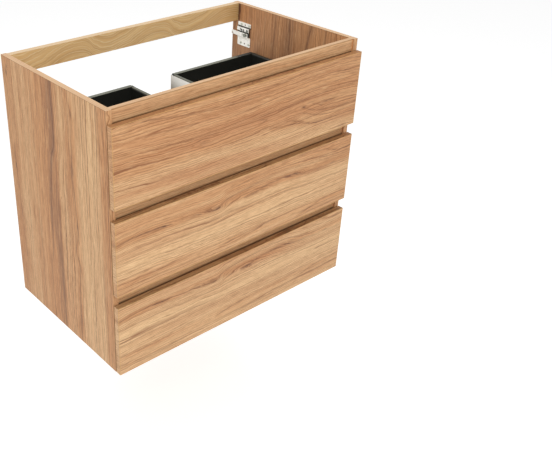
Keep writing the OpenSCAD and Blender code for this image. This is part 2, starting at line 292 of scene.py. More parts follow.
GROWTH_SETS = (               # spacing in metres, strength, seed
    (0.0088, 1.00, 0.0),
    (0.0057, 0.85, 3.0),
    (0.0036, 0.60, 6.0))
FLOW_RANGE = 40.0             # the most that a flow shifts the lines, in millimetres
NEAR_SOFT = 1.5               # a vein's fall on its near and far side, and its halo, in half widths
FAR_SHARP = 0.7
HALO = 4.5
PARTING = 2.5                 # how far the lines part round a knot, in knot sizes, and by how much
PARTING_SHIFT = 1.6
BAND_WIDTH = 0.0018           # of the pale line round a front
PANEL_JOINT = (0.0018, 0.0008)    # distances from the rim at which a joint line ends and is full
RAIL_JOINT = (0.0032, 0.0018)
HANGER_INSET = 0.003          # how far inside a hanger plate's outline the wood is hidden


class Figure:
    """The tones, veins and knots of one board, with the strength of its fine grain."""

    def __init__(self, tones, veins=(), knots=(), flow=None, lines=0.5, redness=0.4, seed=0.0,
                 streaks=1.0, fall=0.0):
        self.tones = tones        # (across, tone): 0 is the palest wood, 1 the brownest
        self.veins = veins        # (half width, [(along, across, darkness), ...])
        self.knots = knots        # (along, across, half length, half width, darkness)
        self.flow = flow          # (across, reach, [(along, shift), ...]) of the lines near a vein
        self.lines = lines        # strength of the growth lines
        self.redness = redness
        self.seed = seed
        self.streaks = streaks    # contrast of the streaks
        self.fall = fall          # painted shade: how much browner the board grows along the grain

    def moved(self, across, seed, paler):
        """The same print cut so that it lies further across the board, and a little paler as painted light,
        for a front the lamps light less.
        """
        return Figure(
            [(at + across, tone - paler) for at, tone in self.tones],
            [(half, [(s, at + across, dark) for s, at, dark in points]) for half, points in self.veins],
            [(s, at + across, long, half, dark) for s, at, long, half, dark in self.knots],
            self.flow and (self.flow[0] + across, *self.flow[1:]),
            self.lines, self.redness, seed, self.streaks, self.fall)


class Board:
    """The grain's coordinates on a wooden piece, in metres, and the places that differ from it."""

    def __init__(self, net, node, along, across):
        low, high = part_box(node)
        xyz = net.axes("Object")
        normals = net.axes("Normal")
        thin = X + Y + Z - along - across
        self.net = net
        self.low, self.high, self.xyz, self.normals = low, high, xyz, normals
        self.length = (high[along] - low[along]) / MM
        self.breadth = (high[across] - low[across]) / MM
        self.along = high[Z] - xyz[Z] if along == Z else xyz[X] - low[X]
        self.across = high[Z] - xyz[Z] if across == Z else high[Y] - xyz[Y]
        self.depth = xyz[thin] - low[thin]
        self.line = self.across           # the same, bent as the growth lines are
        self.wobbled = self.across        # the same, bent as the tones and veins are
        self.end_grain = net.facing(normals[along].absolute())
        self.edge = net.facing(normals[Z].absolute().most(normals[along].absolute()))
        if thin == Z:
            self.edge = 1.0 - net.facing(normals[Z].absolute())
        self.front_face = net.facing(normals[Y], -1.0)
        self.lip = self.front_face if across == Y else 0.0
        self.shaded = 0.0                 # shares of the surface: in painted shade
        self.banded = 0.0                 # on the pale line round a front
        self.jointed = 0.0                # on the joint between board and edge band
        self.hidden = 0.0                 # in painted deep shade, where hardly any light comes

    def curve(self, points, low, high):
        """A smooth curve along the board through (along, value) points, in metres."""
        span = high - low
        start = self.along / (self.length * MM)
        unit = [(s / self.length, (value - low) / span) for s, value in points]
        return (self.net.curve(start, unit) * span + low) * MM

    def noise(self, cycles, seed, detail=2.0, rough=0.5):
        """Noise stretched along the bent grain lines."""
        along, across = cycles
        return self.net.noise(
            self.along * along + seed, self.line * across, self.depth * across,
            detail=detail, rough=rough)

    def flat_noise(self, cycles, seed, detail=2.0, rough=0.5):
        """Noise on the straight grain, the same all through the board, about 0."""
        along, across = cycles
        return self.net.noise(
            self.along * along + seed, self.across * across, detail=detail, rough=rough) - 0.5


def off_middle(value, low, high):
    """A place's distance from the middle of a span, and half the span."""
    return (value - (low + high) / 2).absolute(), (high - low) / 2


def rim_of(value, low, high, reach):
    """1 within reach of either end of a span, else 0."""
    off, half = off_middle(value, low, high)
    return value.net.ramp(off, half - reach, half - reach / 2)


def behind_fronts(height, softness):
    """The share of a place that the drawer fronts cover, by its height, with a soft border."""
    covered = []
    for level in ("top", "middle", "bottom"):
        low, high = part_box("front_" + level)
        off, half = off_middle(height, low[Z], high[Z])
        covered.append(height.net.ramp(off, half + 0.002, half - 0.003))
        covered.append(height.net.ramp(off, half + 0.024, half) * softness)
    return sum(covered)


def behind_hanger(board, node):
    """Where the bare wood is covered by a hanger's plate, seen only through its holes, for painted deep
    shade there.
    """
    low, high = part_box(node.replace("side_panel", "hanger_plate"))
    inward = board.normals[X] if high[X] < 0 else -board.normals[X]
    share = board.net.facing(inward)
    for axis in (Y, Z):
        off, half = off_middle(board.xyz[axis], low[axis], high[axis])
        share = board.net.ramp(off, half - HANGER_INSET, half - HANGER_INSET - 0.001) * share
    return share


def mark_panel(board, node):
    """A side panel: painted shade on its front edge behind the fronts, a thin joint to its edge bands, and
    painted deep shade behind the hanger's plate.
    """
    flank = board.net.facing(board.normals[X].absolute())
    from_rim = (board.xyz[Y] - board.low[Y]).least(board.high[Z] - board.xyz[Z])
    board.hidden = behind_hanger(board, node)
    board.shaded = board.lip * behind_fronts(board.xyz[Z], 0.0) * 0.8
    board.jointed = flank * board.net.ramp(from_rim, *PANEL_JOINT) * 0.6


def mark_front(board):
    """A drawer front: a pale line round its face, and painted shade on its top and back."""
    sides = rim_of(board.xyz[X], board.low[X], board.high[X], BAND_WIDTH)
    ends = rim_of(board.xyz[Z], board.low[Z], board.high[Z], BAND_WIDTH)
    board.edge = board.end_grain * 0.20
    board.shaded = board.net.facing(board.normals[Z].most(board.normals[Y]))
    board.banded = board.front_face * sides.most(ends) * 0.7


def mark_rail(board):
    """A front rail: painted shade behind the fronts, deepest where they cover it, and the joint to the edge
    band on its top.
    """
    from_top = board.high[Z] - board.xyz[Z]
    board.shaded = behind_fronts(board.xyz[Z], 0.22)
    board.hidden = board.shaded.power(4.0) * 0.25
    board.jointed = board.front_face * board.net.ramp(from_top, *RAIL_JOINT) * 0.45


def mark_places(board, node):
    """Marks the places of a board that differ from its print."""
    if node.startswith("side_panel"):
        mark_panel(board, node)
    elif node.startswith("front"):
        mark_front(board)
    elif node.endswith("front_rail"):
        mark_rail(board)


def bend_lines(board, figure):
    """Makes the grain lines wander, follow the main vein and part round the knots."""
    sway = board.flat_noise(SWAY, figure.seed)
    ripple = board.flat_noise(RIPPLE, figure.seed, detail=3.0, rough=0.6)
    jag = board.flat_noise(JAG, figure.seed)
    wobble = board.flat_noise(WOBBLE, figure.seed)
    line = board.across + sway * SWAY_REACH + ripple * RIPPLE_REACH + jag * JAG_REACH
    if figure.flow:
        centre, reach, points = figure.flow
        away = (board.across - centre * MM) / (reach * MM)
        line = line - board.curve(points, -FLOW_RANGE, FLOW_RANGE) * (away * away * -1.0).exponent()
    for s, at, long, half, dark in figure.knots:
        a = (board.along - s * MM) / (long * PARTING * MM)
        b = (board.across - at * MM) / (half * PARTING * MM)
        line = line - b * ((a * a + b * b) * -1.0).exponent() * (half * PARTING_SHIFT * MM)
    board.line = line
    board.wobbled = board.across + wobble * WOBBLE_REACH + jag * WOBBLE_JAG_REACH


def vein_darkness(board, half, points):
    """A vein's line, sharp on its far side and soft on its near side, and the brown around it."""
    path = board.curve([(s, at) for s, at, dark in points], 0.0, board.breadth)
    strength = board.curve([(s, dark / MM) for s, at, dark in points], 0.0, 1.0 / MM)
    off = board.wobbled - path
    fall = (off / (half * -NEAR_SOFT * MM)).most(off / (half * FAR_SHARP * MM))
    halo = (off.absolute() / (half * -HALO * MM)).exponent()
    return (fall * -1.0).exponent() * strength, halo * strength


def knot_darkness(board, s, at, long, half, dark):
    """A soft dark oval."""
    a = (board.along - s * MM) / (long * MM)
    b = (board.wobbled - at * MM) / (half * MM)
    return ((a * a + b * b) * -1.0).exponent() * dark


def figure_darkness(board, figure):
    """All veins and knots of a board, broken up by its fibres, and the brown around them."""
    fibres = board.net.ramp(board.noise(MARK, figure.seed + 17.0, detail=3.0), 0.32, 0.64) * 1.1 + 0.25
    veins = [vein_darkness(board, half, points) for half, points in figure.veins]
    knots = [knot_darkness(board, *knot) for knot in figure.knots]
    dark = sum([line for line, around in veins] + knots)
    return (dark * fibres * 0.85).clamped(), sum(around for line, around in veins)


def growth_lines(board, seed, spacing):
    """Dark yearly lines, soft on one side, which wander and fade."""
    drift = board.noise(DRIFT, seed + 5.0) * 7.0
    phase = (board.line / spacing + drift).fraction()
    fade = board.net.ramp(board.noise(FADE, seed + 9.0), 0.36, 0.54)
    return phase.power(7.0) * board.net.ramp(phase, 1.0, 0.94) * fade


def all_growth_lines(board, seed):
    """Broad, middling and fine growth lines together."""
    return highest([
        growth_lines(board, seed + shift, spacing) * strength
        for spacing, strength, shift in GROWTH_SETS])


def tone_of(board, figure):
    """The board's slow change of colour across the grain, 0 pale to 1 brown."""
    net = board.net
    unit = [(max(0.0, min(1.0, at / board.breadth)), tone) for at, tone in figure.tones]
    zone = net.curve(board.wobbled / (board.breadth * MM), unit)
    # painted shade: browner along the grain, by the figure's fall
    zone = zone + net.ramp(board.along, 0.04, 0.16) * figure.fall
    broad = board.noise(BROAD, figure.seed + 1.0)
    streak = board.noise(STREAK, figure.seed + 2.0, detail=5.0, rough=0.74)
    return zone + (broad - 0.5) * 0.35 + (streak - 0.5) * 1.15 * figure.streaks


def ground_colour(board, figure, tone):
    """The wood between its marks: pale to brown by tone, with reddish places."""
    net = board.net
    colour = net.mix(LIGHT_TAN, WARM_TAN, net.ramp(tone, 0.0, 0.85))
    colour = net.mix(colour, GREY_BROWN, net.ramp(tone, 0.75, 1.5))
    red = net.ramp(board.noise(REDDISH, figure.seed + 3.0), 0.45, 0.72)
    return net.mix(colour, RED_BROWN, red * figure.redness)


def band_colour(board, seed):
    """The paler band on a board's edges, with its grain along the edge."""
    net = board.net
    along, across = BAND_GRAIN
    run = net.noise(board.along * along, board.depth * across, seed)
    turned = net.noise(board.across * along, board.depth * across, seed)
    streak = run + (turned - run) * board.end_grain
    return net.mix(EDGE_LIGHT, EDGE_DARK, net.ramp(streak, 0.35, 0.75))


def printed_colour(board, figure, rings):
    """The decor's colour, but for its fibres and pores."""
    net = board.net
    dark, halo = figure_darkness(board, figure)
    tone = tone_of(board, figure) + halo * 0.40
    tone = tone + (0.5 - tone) * board.lip
    strand = board.noise(STRAND, figure.seed + 15.0, detail=3.0, rough=0.65)
    colour = ground_colour(board, figure, tone)
    colour = net.mix(colour, LINE_BROWN, (rings * (figure.lines * 1.5)).clamped())
    colour = net.tinted(colour, STRAND_TINT, net.ramp(strand, 0.48, 0.72) * figure.streaks)
    colour = net.mix(colour, STRAND_LIGHT, net.ramp(strand, 0.44, 0.26) * 0.5)
    return net.mix(colour, VEIN_BROWN, dark)


def edged_colour(board, colour, seed):
    """The wood's colour with its edge bands and joints, and painted shade on its covered places."""
    net = board.net
    colour = net.mix(colour, band_colour(board, seed), board.edge)
    colour = net.mix(colour, BAND_LINE, board.banded)
    colour = net.mix(colour, JOINT_LINE, board.jointed)
    colour = net.tinted(colour, SHADE_TINT, board.shaded)
    return net.tinted(colour, HIDDEN_TINT, board.hidden)


def wood_decor(node, along, across, figure):
    """Printed wood whose grain runs along one axis, with its figure across another."""
    net = material_net(node + "_wood")
    board = Board(net, node, along, across)
    mark_places(board, node)
    bend_lines(board, figure)
    rings = all_growth_lines(board, figure.seed)
    fibre = board.noise(FIBRE, figure.seed + 11.0, detail=3.0, rough=0.6)
    pores = board.noise(PORES, figure.seed + 13.0)
    colour = printed_colour(board, figure, rings)
    colour = net.tinted(colour, FIBRE_TINT, net.ramp(fibre, 0.38, 0.68))
    colour = net.tinted(colour, PORE_TINT, net.ramp(pores, 0.62, 0.78))
    height = fibre * 0.5 - rings * 0.2 - net.ramp(pores, 0.60, 0.75) * 0.4
    return net.finish(
        Base_Color=edged_colour(board, colour, figure.seed), Roughness=0.55, Specular_IOR_Level=0.3,
        Normal=net.bump(height, 0.0003, 0.4))


LOWER_FRONT = Figure(
    tones=[(0, 0.46), (25, 0.54), (38, 0.40), (54, 0.62), (70, 0.36), (80, 0.24), (110, 0.21), (150, 0.15),
           (165, 0.28), (174, 0.44), (204, 0.38)],
    veins=[
        (1.8, [(0, 60, 0.65), (60, 54, 0.75), (105, 53, 0.95), (140, 57, 0.85), (200, 59, 0.25),
               (255, 64, 0.60), (310, 68, 0.85), (322, 60, 0.65), (345, 51, 0.65), (400, 43, 0.60),
               (480, 35, 0.35), (560, 31, 0.0)]),
        (2.2, [(395, 68, 0.0), (430, 66, 0.70), (460, 58, 0.55), (520, 54, 0.60), (570, 56, 0.95),
               (600, 62, 0.55), (650, 67, 0.50), (700, 70, 0.30), (800, 69, 0.15)]),
        (1.3, [(590, 9, 0.0), (640, 10, 0.40), (690, 16, 0.55), (722, 26, 0.70), (745, 32, 0.75),
               (800, 33, 0.60)]),
        (1.2, [(320, 27, 0.0), (380, 16, 0.35), (450, 9, 0.40), (560, 6, 0.30), (800, 4, 0.10)]),
        (1.2, [(330, 32, 0.0), (400, 22, 0.45), (500, 15, 0.45), (600, 9, 0.25), (700, 7, 0.0)]),
        (1.2, [(610, 24, 0.0), (680, 35, 0.50), (730, 42, 0.35), (800, 46, 0.30)]),
        (1.6, [(0, 167, 0.20), (60, 172, 0.45), (150, 171, 0.50), (185, 167, 0.35), (260, 172, 0.0)]),
        (1.8, [(310, 190, 0.0), (345, 181, 0.55), (400, 176, 0.50), (450, 172, 0.30), (520, 173, 0.35),
               (640, 168, 0.20), (700, 170, 0.0)]),
        (1.8, [(600, 194, 0.0), (650, 184, 0.45), (700, 175, 0.50), (800, 171, 0.45)]),
        (2.0, [(0, 200, 0.50), (90, 204, 0.30), (300, 201, 0.10), (470, 203, 0.50), (600, 197, 0.25),
               (700, 193, 0.55), (800, 194, 0.50)]),
        (1.1, [(0, 88, 0.35), (120, 85, 0.30), (220, 89, 0.35), (330, 96, 0.20), (420, 94, 0.30),
               (520, 90, 0.20), (800, 90, 0.25)]),
    ],
    knots=[(124, 55, 30, 4.5, 0.32), (312, 66, 9, 3.5, 0.42), (300, 62, 20, 5.0, 0.20),
           (425, 65, 30, 6.0, 0.32), (570, 55, 28, 4.0, 0.34), (732, 66, 10, 3.0, 0.35),
           (245, 60, 30, 5.0, 0.20)],
    flow=(56, 34, [(0, 3), (100, -4), (220, 3), (310, 10), (345, -6), (430, -12), (560, -4), (650, 8),
                   (800, 10)]),
    lines=0.85, redness=0.35, seed=4.0, streaks=0.80)

TOP_FRONT = Figure(
    tones=[(0, 0.66), (14, 0.56), (35, 0.58), (55, 0.50), (88, 0.58), (105, 0.54), (130, 0.50), (146, 0.38),
           (175, 0.32), (204, 0.34)],
    veins=[
        (1.8, [(40, 4, 0.0), (70, 7, 0.55), (130, 14, 0.65), (185, 23, 0.65), (250, 29, 0.50),
               (330, 33, 0.55), (420, 36, 0.35), (520, 36, 0.15), (640, 34, 0.35), (690, 33, 0.45),
               (740, 37, 0.60), (800, 39, 0.60)]),
        (1.6, [(390, 23, 0.0), (440, 22, 0.45), (500, 19, 0.55), (560, 15, 0.45), (640, 13, 0.35),
               (690, 12, 0.50), (735, 7, 0.50), (800, 13, 0.70)]),
        (2.0, [(410, 90, 0.0), (450, 91, 0.45), (520, 90, 0.50), (570, 85, 0.60), (620, 84, 0.45),
               (700, 81, 0.40), (800, 83, 0.35)]),
        (1.8, [(0, 72, 0.40), (60, 78, 0.35), (150, 84, 0.40), (270, 93, 0.30), (380, 96, 0.0)]),
        (1.3, [(470, 134, 0.0), (520, 138, 0.85), (560, 143, 0.80), (600, 150, 0.80), (640, 160, 1.00),
               (680, 161, 0.75), (800, 162, 0.65)]),
        (1.2, [(530, 129, 0.0), (560, 134, 0.65), (585, 142, 0.55), (600, 146, 0.0)]),
        (1.5, [(585, 100, 0.0), (605, 112, 0.65), (640, 124, 0.75), (690, 132, 0.70), (750, 136, 0.70),
               (800, 136, 0.85)]),
        (1.1, [(560, 112, 0.0), (600, 124, 0.50), (640, 138, 0.60), (700, 147, 0.55), (800, 149, 0.60)]),
        (1.0, [(620, 100, 0.0), (650, 112, 0.50), (700, 122, 0.50), (800, 125, 0.55)]),
        (1.2, [(460, 61, 0.0), (540, 64, 0.35), (640, 62, 0.45), (800, 60, 0.50)]),
        (1.2, [(220, 106, 0.0), (226, 108, 0.45), (240, 116, 0.45), (320, 124, 0.30), (400, 120, 0.30),
               (460, 106, 0.60), (466, 103, 0.0)]),
        (1.2, [(220, 109, 0.0), (226, 107, 0.45), (245, 101, 0.40), (340, 98, 0.20), (430, 98, 0.40),
               (460, 105, 0.60), (466, 107, 0.0)]),
        (1.1, [(0, 45, 0.20), (200, 52, 0.25), (420, 56, 0.10), (620, 50, 0.25), (800, 52, 0.30)]),
    ],
    knots=[(255, 108, 12, 4.5, 0.28), (452, 104, 10, 3.5, 0.30), (592, 104, 12, 4.0, 0.34),
           (684, 108, 26, 3.2, 0.62), (620, 96, 14, 2.5, 0.35), (750, 196, 20, 4.5, 0.40)],
    flow=(70, 60, [(0, -6), (200, 3), (400, 6), (560, 0), (700, -4), (800, 0)]),
    lines=0.95, redness=0.55, seed=11.0, streaks=0.80)

PANEL = Figure(
    tones=[(0, 0.34), (30, 0.64), (60, 0.36), (110, 0.42), (150, 0.64), (180, 0.84), (205, 0.94),
           (238, 1.04), (246, 0.52), (262, 0.40), (290, 0.52), (330, 0.44), (350, 0.24), (425, 0.22),
           (440, 0.50), (467, 0.58)],
    veins=[
        (2.1, [(0, 235, 0.75), (120, 236, 0.75), (168, 234, 1.00), (200, 220, 0.85), (290, 206, 0.95),
               (400, 199, 0.80), (467, 194, 0.60), (533, 182, 0.35), (640, 176, 0.0)]),
        (4.0, [(280, 242, 0.0), (330, 240, 0.30), (450, 238, 0.35), (580, 235, 0.45), (710, 232, 0.45)]),
        (2.2, [(0, 290, 0.15), (60, 322, 0.50), (120, 318, 0.35), (190, 314, 0.90), (225, 313, 0.95),
               (270, 317, 0.65), (350, 323, 0.75), (385, 322, 0.60), (428, 311, 0.60), (468, 324, 0.95),
               (530, 319, 0.65), (650, 313, 0.85), (710, 312, 0.60)]),
        (2.4, [(230, 28, 0.0), (275, 27, 0.55), (318, 28, 0.55), (380, 32, 0.45), (440, 34, 0.60),
               (480, 34, 0.50), (560, 38, 0.40), (640, 40, 0.0)]),
        (1.6, [(0, 428, 0.45), (90, 436, 0.50), (160, 444, 0.40), (250, 447, 0.35), (400, 445, 0.30),
               (560, 441, 0.35), (710, 438, 0.25)]),
        (1.4, [(0, 446, 0.50), (80, 452, 0.45), (160, 460, 0.40), (330, 461, 0.35), (560, 457, 0.30),
               (710, 452, 0.30)]),
        (3.0, [(360, 131, 0.0), (480, 133, 0.35), (600, 130, 0.30), (710, 126, 0.25)]),
    ],
    knots=[(44, 20, 10, 4.5, 1.0), (24, 25, 5, 2.5, 0.55), (55, 323, 9, 4.0, 0.55),
           (205, 314, 13, 4.5, 0.60), (365, 322, 16, 5.0, 0.35), (527, 113, 9, 3.0, 0.45),
           (650, 314, 20, 3.5, 0.40), (294, 27, 22, 3.5, 0.35)],
    flow=(230, 60, [(0, 4), (160, 4), (210, -8), (300, -16), (467, -22), (710, -26)]),
    lines=0.95, redness=0.25, seed=23.0, streaks=1.50)

# The right panel's inner face, as painted shade: browner than the left panel's print and browner towards
# its rear, and by its fall browner below its top.
SHADED_RIGHT_PANEL = Figure(
    tones=[(0, 0.98), (60, 0.98), (120, 0.94), (200, 0.96), (300, 0.90), (380, 0.80), (467, 0.84)],
    veins=[(3.0, [(0, 236, 0.70), (120, 240, 0.75), (300, 236, 0.50), (710, 230, 0.40)]),
           (2.2, [(0, 318, 0.60), (60, 306, 0.75), (130, 300, 0.60), (400, 296, 0.40), (710, 300, 0.40)]),
           (1.8, [(0, 372, 0.55), (90, 366, 0.65), (300, 360, 0.45), (710, 356, 0.40)]),
           (1.6, [(0, 180, 0.45), (140, 176, 0.60), (400, 182, 0.40), (710, 178, 0.40)]),
           (1.6, [(0, 20, 0.55), (50, 14, 0.70), (90, 6, 0.45), (160, 3, 0.0)])],
    # both knots are painted shade in the corner by the back rail
    knots=[(12, 25.0, 34, 4.0, 2.2), (20, 28, 30, 6.0, 0.6)],
    lines=0.8, redness=0.08, seed=29.0, streaks=1.15, fall=0.25)

RAIL_FIGURE = Figure(
    tones=[(0, 0.36), (30, 0.34), (60, 0.40)],
    veins=[(1.4, [(0, 12, 0.30), (200, 15, 0.20), (420, 11, 0.40), (600, 16, 0.45), (770, 13, 0.30)])],
    lines=0.70, redness=0.20, seed=37.0)

FIGURES = {
    "side_panel_left": PANEL,
    "side_panel_right": SHADED_RIGHT_PANEL,
    "front_top": TOP_FRONT,
    "front_middle": LOWER_FRONT,
    # painted light: the bottom front's print is 0.16 paler, as the lamps light it less
    "front_bottom": LOWER_FRONT.moved(-20, 5.0, 0.16),
}


# ---- Printed oak of the back rails ----

OAK_LIGHT = srgb(248, 209, 148)
OAK_DARK = srgb(222, 177, 118)
OAK_LINE = srgb(253, 231, 186)
OAK_EDGE = srgb(208, 178, 138)
OAK_FIBRE_TINT = (0.93, 0.91, 0.88, 1.0)
OAK_SHADE_TINT = (0.76, 0.74, 0.66, 1.0)
OAK_START = 0.185             # where a first figure starts along the rail, in metres
OAK_REPEAT = 0.272            # the length of a figure
OAK_RISE = 0.044              # how far its lines rise across the rail
OAK_SPACING = 0.0064
OAK_ARCH = (                  # (along, rise) of a line, as shares of the figure
    (0.0, 0.0), (0.10, 0.06), (0.26, 0.72), (0.40, 1.0), (0.55, 0.86), (0.80, 0.30), (0.93, 0.05),
    (1.0, 0.0))
OAK_SHADE_ENDS = (0.70, 0.775)


def oak_decor(node):
    """Pale oak whose rounded figure repeats along the rail."""
    net = material_net(node + "_oak")
    board = Board(net, node, X, Z)
    repeat = ((board.along - OAK_START) / OAK_REPEAT).fraction()
    sway = net.noise(repeat * 6.0, board.across * 45.0, 2.0) - 0.5
    level = (board.across - net.curve(repeat, OAK_ARCH) * OAK_RISE + sway * 0.012) / OAK_SPACING
    ring = level.fraction()
    line = net.ramp(ring, 0.58, 0.84) * net.ramp(ring, 1.0, 0.90)
    keep = net.ramp(net.noise(level * 0.7, board.along * 5.0, 4.0), 0.36, 0.60)
    tone = net.noise(board.along * 3.0, level * 0.35, 8.0)
    fibre = net.noise(board.along * 25.0, board.across * 520.0, board.depth * 520.0)
    colour = net.mix(OAK_LIGHT, OAK_DARK, net.ramp(tone, 0.28, 0.70))
    colour = net.mix(colour, OAK_LINE, line * keep * 0.85)
    colour = net.tinted(colour, OAK_FIBRE_TINT, net.ramp(fibre, 0.35, 0.7))
    # painted shade towards the rail's right end, by the right panel
    colour = net.tinted(colour, OAK_SHADE_TINT, net.ramp(board.along, *OAK_SHADE_ENDS))
    colour = net.mix(colour, OAK_EDGE, net.facing(board.normals[Z].absolute()))
    return net.finish(Base_Color=colour, Roughness=0.52, Normal=net.bump(fibre, 0.0003, 0.4))


def wood_of(node):
    """The decor of a wooden node. Its grain is upright on the side panels, else level."""
    if node.endswith("back_rail"):
        return oak_decor(node)
    along = Z if node.startswith("side_panel") else X
    across = Y if "panel" in node else Z
    return wood_decor(node, along, across, FIGURES.get(node, RAIL_FIGURE))


# ---- Metals, boards and plastics ----

DARK_COAT = srgb(31, 32, 28)
# The rim colours are painted sheen: the coat's upward folds, paler as if reflecting the bright studio.
SIDE_RIM_SHEEN = srgb(44, 46, 41)
BACK_RIM_SHEEN = srgb(108, 110, 96)
WALL_RIM_SHEEN = srgb(88, 90, 78)
# The cut-out face: its pale colour, partly painted reflection of the bright studio, and the painted
# reflection of the wood at its lower rear.
LINING_PALE_SHEEN = srgb(240, 237, 229)
LINING_REFLECTED_WOOD = srgb(128, 119, 104)
NICKEL_LIGHT = srgb(255, 253, 244)
NICKEL_DARK = srgb(242, 239, 229)
CARRIAGE_NICKEL = srgb(240, 238, 228)
CARRIAGE_SHADE = srgb(56, 58, 50)
RECESS_SHADE = srgb(62, 64, 54)
HOLE_SHADE = srgb(74, 42, 28)
BASE_BOARD = srgb(38, 38, 36)
ZINC = srgb(190, 192, 192)
SCREW_STEEL = srgb(204, 206, 193)
ADJUSTER_STEEL = srgb(152, 156, 144)
CAP_BLACK = srgb(30, 30, 29)
BEECH = srgb(222, 184, 138)

PATCH_TINT = (0.82, 0.82, 0.82, 1.0)
COAT_PATCH_TINT = (0.80, 0.80, 0.80, 1.0)

# Noise cycles a metre

SPECKS = 900.0
PATCHES = 14.0
LINING_REFLECTION_PATCHES = 20.0
NICKEL_PATCHES = 60.0
CARRIAGE_BUMPS = 120.0
SCRATCHES = (300.0, 900.0, 120.0)

BACK_SHEEN_REACH = 0.305            # painted sheen: how far from the middle the backs' rims are paler, in metres
RECESS_FOOT = 0.030
CARRIAGE_LIP = 0.0032
LOCATING_Y = 0.0234
LOCATING_ZS = (0.008, 0.0655)
STAMPED_SLOTS = (             # from the plate's front foot: along, up, its rise to the rear, half length
    (0.0356, 0.0500, 23, 0.0055),
    (0.0247, 0.0485, 69, 0.0045))
SLOT_HALF = 0.0025
SLOT_BLUR = 0.0005


def specks(net, xyz):
    """A fine even grain, about 0.5."""
    return net.noise(*xyz, detail=3.0, scale=SPECKS)


def patches(net, xyz, cycles=PATCHES):
    """The share of slow soft patches, 0 to 1."""
    return net.ramp(net.noise(*xyz, scale=cycles), 0.35, 0.7)


def speckled(net, speck, middle, spread=0.12):
    """A roughness that the grain varies."""
    return net.ramp(speck, 0.2, 0.8) * spread + (middle - spread / 2)


def upper_rim(net, normals):
    """1 on faces that look up, else 0."""
    return net.ramp(normals[Z], 0.8, 0.95)


def plain(name, colour, roughness, metallic=0.0):
    """A finish with a fine even grain."""
    net = material_net(name)
    xyz = net.axes("Object")
    speck = specks(net, xyz)
    return net.finish(
        Base_Color=net.tinted(colour, PATCH_TINT, patches(net, xyz)), Metallic=metallic,
        Roughness=speckled(net, speck, roughness), Normal=net.bump(speck, 0.00015, 0.4))


def coated_steel(name, rim_sheen, sheen_within=1.0):
    """Dark powder-coated steel, with painted sheen that makes its upward folded rims paler, up to a
    distance from the middle.
    """
    net = material_net(name)
    xyz = net.axes("Object")
    rim = upper_rim(net, net.axes("Normal"))
    rim = rim * net.ramp(xyz[X].absolute(), sheen_within + 0.012, sheen_within)
    speck = specks(net, xyz)
    colour = net.mix(DARK_COAT, rim_sheen, rim)
    return net.finish(
        Base_Color=net.tinted(colour, COAT_PATCH_TINT, patches(net, xyz)),
        Roughness=speckled(net, speck, 0.42), Normal=net.bump(speck, 0.00015, 0.4),
        Specular_IOR_Level=0.4)


def lined_steel(node):
    """Dark coated steel whose face towards the siphon's cut-out is pale, partly as painted reflection of
    the bright studio, with painted reflection of the wood darkening it towards its lower rear.
    """
    net = material_net(node + "_steel")
    low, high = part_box(node)
    xyz = net.axes("Object")
    normals = net.axes("Normal")
    inward = normals[X] if high[X] < 0 else -normals[X]
    bright = net.facing(normals[Y] if node.endswith("front") else inward)
    below = (high[Z] - xyz[Z]) + (xyz[Y] - low[Y]) * 0.30
    patch = net.noise(*xyz, scale=LINING_REFLECTION_PATCHES)
    # painted reflection of the wood, deeper further below the top and towards the rear, broken up by
    # patches
    lining_and_reflection = net.mix(LINING_PALE_SHEEN, LINING_REFLECTED_WOOD, net.ramp(below, 0.050, 0.125) * (patch * 0.6 + 0.7))
    colour = net.mix(net.mix(DARK_COAT, WALL_RIM_SHEEN, upper_rim(net, normals)), lining_and_reflection, bright)
    return net.finish(
        Base_Color=colour, Metallic=bright * 0.4, Roughness=0.36 - bright * 0.10,
        Normal=net.bump(specks(net, xyz) * (1.0 - bright), 0.0001, 0.3), Specular_IOR_Level=0.4)


def carriage_steel(node):
    """Nickel-plated steel, with painted shade above its lip, where the guide covers it."""
    net = material_net(node + "_steel")
    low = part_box(node)[0]
    xyz = net.axes("Object")
    # painted shade where the guide covers the carriage
    guide_shade = net.ramp(xyz[Z] - low[Z], CARRIAGE_LIP, CARRIAGE_LIP + 0.002)
    patch = net.noise(*xyz, detail=3.0, scale=CARRIAGE_BUMPS)
    return net.finish(
        Base_Color=net.mix(CARRIAGE_NICKEL, CARRIAGE_SHADE, guide_shade), Metallic=0.2, Roughness=0.4,
        Normal=net.bump(patch, 0.0001, 0.3))


def slot_share(net, y, z, slot):
    """1 inside a stamped slot, else 0, for a place measured from the plate's front foot."""
    along, up, angle, half = slot
    turn = math.radians(angle)
    run = (y - along) * math.cos(turn) + (z - up) * math.sin(turn)
    off = (z - up) * math.cos(turn) - (y - along) * math.sin(turn)
    inside = net.ramp(run.absolute(), half + SLOT_BLUR, half - SLOT_BLUR)
    return inside * net.ramp(off.absolute(), SLOT_HALF + SLOT_BLUR, SLOT_HALF - SLOT_BLUR)


def hole_share(net, y, z, up):
    """1 inside a locating hole and a ring round it, where the shaded wood behind is painted, else 0."""
    across = y - LOCATING_Y
    rise = z - up
    return net.ramp((across * across + rise * rise).power(0.5), 0.0027, 0.0021)


def plate_marks(net, colour, y, z, deep):
    """Paints shade into the slots in a plate's upper guide, and the shaded wood seen through its two
    locating holes.
    """
    slots = highest([slot_share(net, y, z, slot) for slot in STAMPED_SLOTS])
    holes = highest([hole_share(net, y, z, up) for up in LOCATING_ZS])
    colour = net.mix(colour, RECESS_SHADE, slots * net.ramp(deep, 0.0048, 0.0054))
    # painted shade: the dark wood seen through the locating holes
    return net.mix(colour, HOLE_SHADE, holes * net.ramp(deep, 0.0026, 0.0022))


